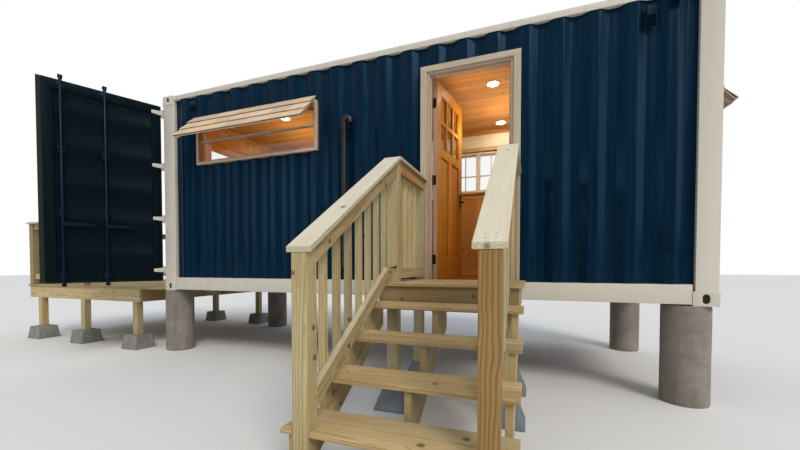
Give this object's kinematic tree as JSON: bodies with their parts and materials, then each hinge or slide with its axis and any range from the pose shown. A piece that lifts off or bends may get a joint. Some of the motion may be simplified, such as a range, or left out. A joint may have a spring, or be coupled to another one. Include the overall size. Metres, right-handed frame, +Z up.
{
  "type": "shipping container cabin",
  "caption": "Navy shipping container cabin on round concrete piers, with an open entrance door, a timber stair, shingled window awnings and a timber deck at the open cargo doors",
  "frame": {"origin": "ground level, under the middle of the whole cabin with deck and stair", "axes": "+X from the cargo-door end to the blind end, +Y from the entrance side to the rear, +Z up"},
  "size_m": [9.3936, 5.8904, 3.418],
  "materials": {
    "navy_steel": "semi-gloss weathered",
    "cream_steel": "satin weathered",
    "bare_steel": "matte",
    "dark_pipe": "satin",
    "floor_wood": "satin",
    "warm_pine": "satin varnish",
    "door_wood": "gloss varnish",
    "door_trim": "satin paint",
    "window_trim": "satin paint",
    "clear_glass": "polished",
    "black_hardware": "satin",
    "cedar": "sawn, weathered",
    "concrete": "cast, stained",
    "treated_pine": "sawn"
  },
  "bodies": {
    "cabin": {"end_frame_left": "cream_steel", "end_frame_right": "cream_steel", "bottom_rail_front": "cream_steel", "bottom_rail_rear": "cream_steel", "top_rail_front": "cream_steel", "top_rail_rear": "cream_steel", "front_wall_left": "navy_steel", "front_wall_over_door": "navy_steel", "front_wall_right": "navy_steel", "rear_wall": "navy_steel", "blind_end_wall": "navy_steel", "roof_panel": "navy_steel", "floor_deck": "floor_wood", "cross_members": "bare_steel", "lining_front_left": "warm_pine", "lining_over_door": "warm_pine", "lining_front_right": "warm_pine", "lining_rear": "warm_pine", "lining_right": "warm_pine", "ceiling": "warm_pine", "infill_wall": "warm_pine", "deck_doors": "door_wood", "entry_frame": "door_trim", "entry_hinges": "black_hardware", "front_window_frame": "window_trim", "rear_window_frame": "warm_pine", "end_window_frame": "window_trim", "window_glass": "clear_glass", "front_awning": "cedar", "end_awning": "cedar", "vent_pipe": "dark_pipe", "cargo_leaf_rear": "navy_steel", "cargo_hardware_rear": "cream_steel", "cargo_lugs": "cream_steel", "piers": "concrete", "deck_frame": "treated_pine", "deck_posts": "treated_pine", "deck_boards": "treated_pine", "deck_railing_front": "treated_pine", "deck_railing_left": "treated_pine", "deck_railing_rear": "treated_pine", "footing_blocks": "concrete", "stair_stringers": "treated_pine", "landing_frame": "treated_pine", "stair_treads": "treated_pine", "stair_posts": "treated_pine", "stair_railing_left": "treated_pine", "stair_railing_right": "treated_pine"},
    "entrance_door": {"entry_leaf": "door_wood", "entry_glass": "clear_glass", "entry_hinge_leaves": "black_hardware", "entry_handle": "black_hardware"},
    "cargo_door": {"cargo_leaf_front": "navy_steel", "cargo_hardware_front": "cream_steel"}
  },
  "joints": [
    {"name": "entrance_door_hinge", "type": "hinge", "parent": "cabin", "child": "entrance_door", "pos_m": [2.02825, -0.43618, 1.02], "axis": [0, 0, 1], "range_deg": [-81, 29]},
    {"name": "cargo_door_hinge", "type": "hinge", "parent": "cabin", "child": "cargo_door", "pos_m": [-1.70525, -0.52918, 0.972], "axis": [0, 0, 1], "range_deg": [-155, 45]}
  ]
}
